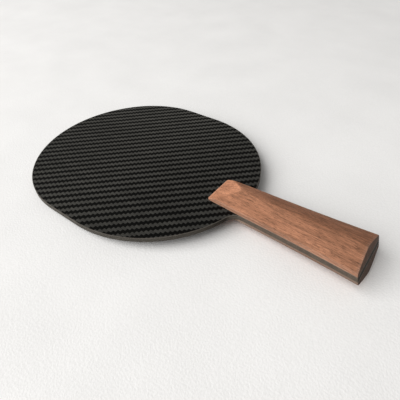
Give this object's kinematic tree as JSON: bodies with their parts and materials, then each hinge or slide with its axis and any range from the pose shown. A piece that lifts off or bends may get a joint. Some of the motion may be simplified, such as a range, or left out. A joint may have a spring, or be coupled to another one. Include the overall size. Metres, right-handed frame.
{
  "type": "table tennis paddle",
  "caption": "Bare table tennis paddle: a round laminated carbon plate blade with a short tang and a two-part wooden handle glued to it.",
  "frame": {"origin": "centre of the blade, on its forehand (upper) face", "axes": "+X along the handle towards its butt, +Y across the blade, +Z out of the forehand face"},
  "size_m": [0.2556, 0.15, 0.0184],
  "materials": {
    "woven_carbon": "satin woven carbon fibre in resin",
    "core_carbon": "sawn and sanded carbon laminate edge, matt",
    "glue": "cured wood glue",
    "handle_wood": "reddish brown, sanded, unvarnished"
  },
  "bodies": {
    "root": {"forehand_twill_ply": "woven_carbon", "core_ply_1_lengthwise": "core_carbon", "core_ply_2_crosswise": "core_carbon", "core_ply_3_lengthwise": "core_carbon", "core_ply_4_crosswise": "core_carbon", "core_ply_5_lengthwise": "core_carbon", "core_ply_6_crosswise": "core_carbon", "core_ply_7_lengthwise": "core_carbon", "core_ply_8_crosswise": "core_carbon", "core_ply_9_lengthwise": "core_carbon", "backhand_twill_ply": "woven_carbon", "forehand_glue_film": "glue", "backhand_glue_film": "glue", "forehand_scale": "handle_wood", "backhand_scale": "handle_wood"}
  },
  "joints": []
}
